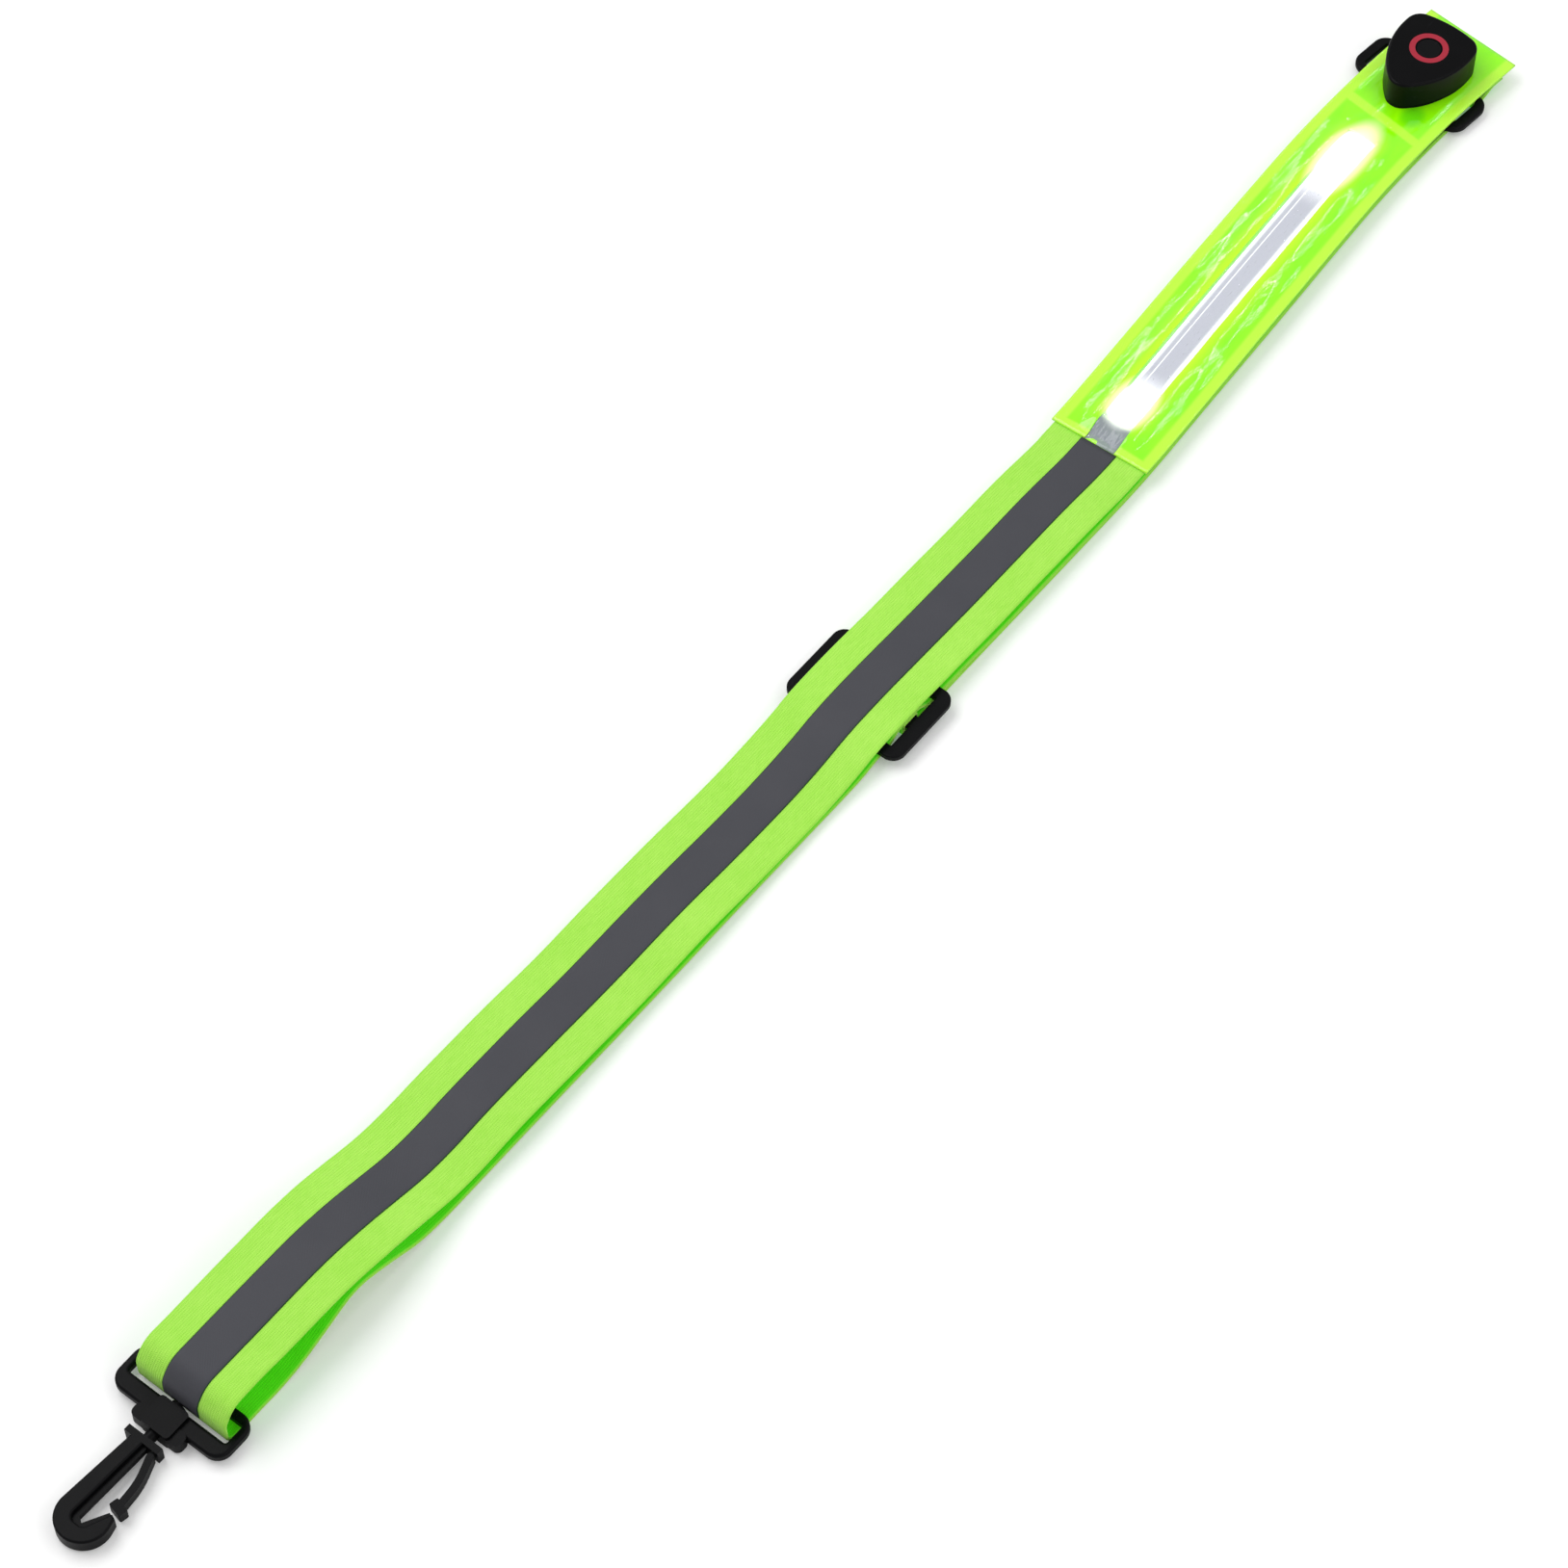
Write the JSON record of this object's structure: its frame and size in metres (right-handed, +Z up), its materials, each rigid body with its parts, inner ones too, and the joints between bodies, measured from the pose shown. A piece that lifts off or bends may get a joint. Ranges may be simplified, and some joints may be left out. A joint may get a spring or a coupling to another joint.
{
  "type": "led safety sash",
  "caption": "Fluorescent webbing sling with a reflective tape, a lit clear-windowed pouch with coin-cell controller, slider, ring and swivel snap hook.",
  "frame": {"origin": "middle of the sash's outline, on the table under it", "axes": "+X along the sash from the snap hook towards the controller, +Z up from the table"},
  "size_m": [0.786, 0.0604, 0.0205],
  "materials": {
    "webbing": "ribbed fluorescent lime polyester webbing, darker green on its inner face",
    "reflective_tape": "matte grey retroreflective tape",
    "hardware": "black moulded acetal, satin",
    "pouch_film": "glossy fluorescent lime PVC film",
    "window_film": "clear PVC film",
    "light_guide": "frosted light guide, lit white",
    "led": "white LED module in a moulded block",
    "reflector": "silver prismatic film",
    "lead": "flat polyimide lead",
    "shell": "satin black ABS",
    "seal": "black silicone",
    "red_ring": "crimson ring",
    "button": "black silicone button",
    "board": "green circuit board",
    "switch": "switch housing",
    "cell": "coin cell can",
    "contact": "spring contact",
    "screw": "self-tapping screw"
  },
  "bodies": {
    "root": {"webbing_hook_bend": "webbing", "webbing_front_run": "webbing", "webbing_pouch_run": "webbing", "webbing_back_run": "webbing", "webbing_return_run": "webbing", "webbing_slider_loop": "webbing", "webbing_ring_turn": "webbing", "webbing_head_fold": "webbing", "reflective_tape": "reflective_tape", "reflective_tape_bend": "reflective_tape", "slider": "hardware", "top_ring": "hardware", "pouch_back": "pouch_film", "pouch_front": "pouch_film", "clear_window": "window_film", "reflector_strip": "reflector", "light_guide": "light_guide", "led_module_lower": "led", "led_module_upper": "led", "flat_lead": "lead", "controller_base": "shell", "controller_cover": "shell", "controller_seal": "seal", "red_ring": "red_ring", "tactile_switch": "switch", "circuit_board": "board", "coin_cell_lower": "cell", "coin_cell_upper": "cell", "cell_contact_lower": "contact", "cell_contact_upper": "contact", "cover_screws": "screw"},
    "hook_frame": {"hook_frame": "hardware"},
    "hook": {"snap_hook": "hardware"},
    "gate": {"gate": "hardware"},
    "button": {"push_button": "button", "switch_plunger": "button"}
  },
  "joints": [
    {"name": "frame_swing", "type": "hinge", "parent": "root", "child": "hook_frame", "pos_m": [-0.3282, -0.0017, 0.0035], "axis": [0, 1, 0], "range_deg": [-90, 4]},
    {"name": "hook_swivel", "type": "hinge", "parent": "hook_frame", "child": "hook", "pos_m": [-0.3462, -0.0017, 0.0035], "axis": [1, 0, 0], "continuous": true},
    {"name": "gate_hinge", "type": "hinge", "parent": "hook", "child": "gate", "pos_m": [-0.3559, -0.007, 0.0035], "axis": [0, 0, 1], "range_deg": [-12, 0], "stiffness_Nm_per_rad": 0.25},
    {"name": "button_press", "type": "slide", "parent": "root", "child": "button", "axis": [0, 0, -1], "range_m": [0, 0.0003], "stiffness_N_per_m": 4000}
  ]
}
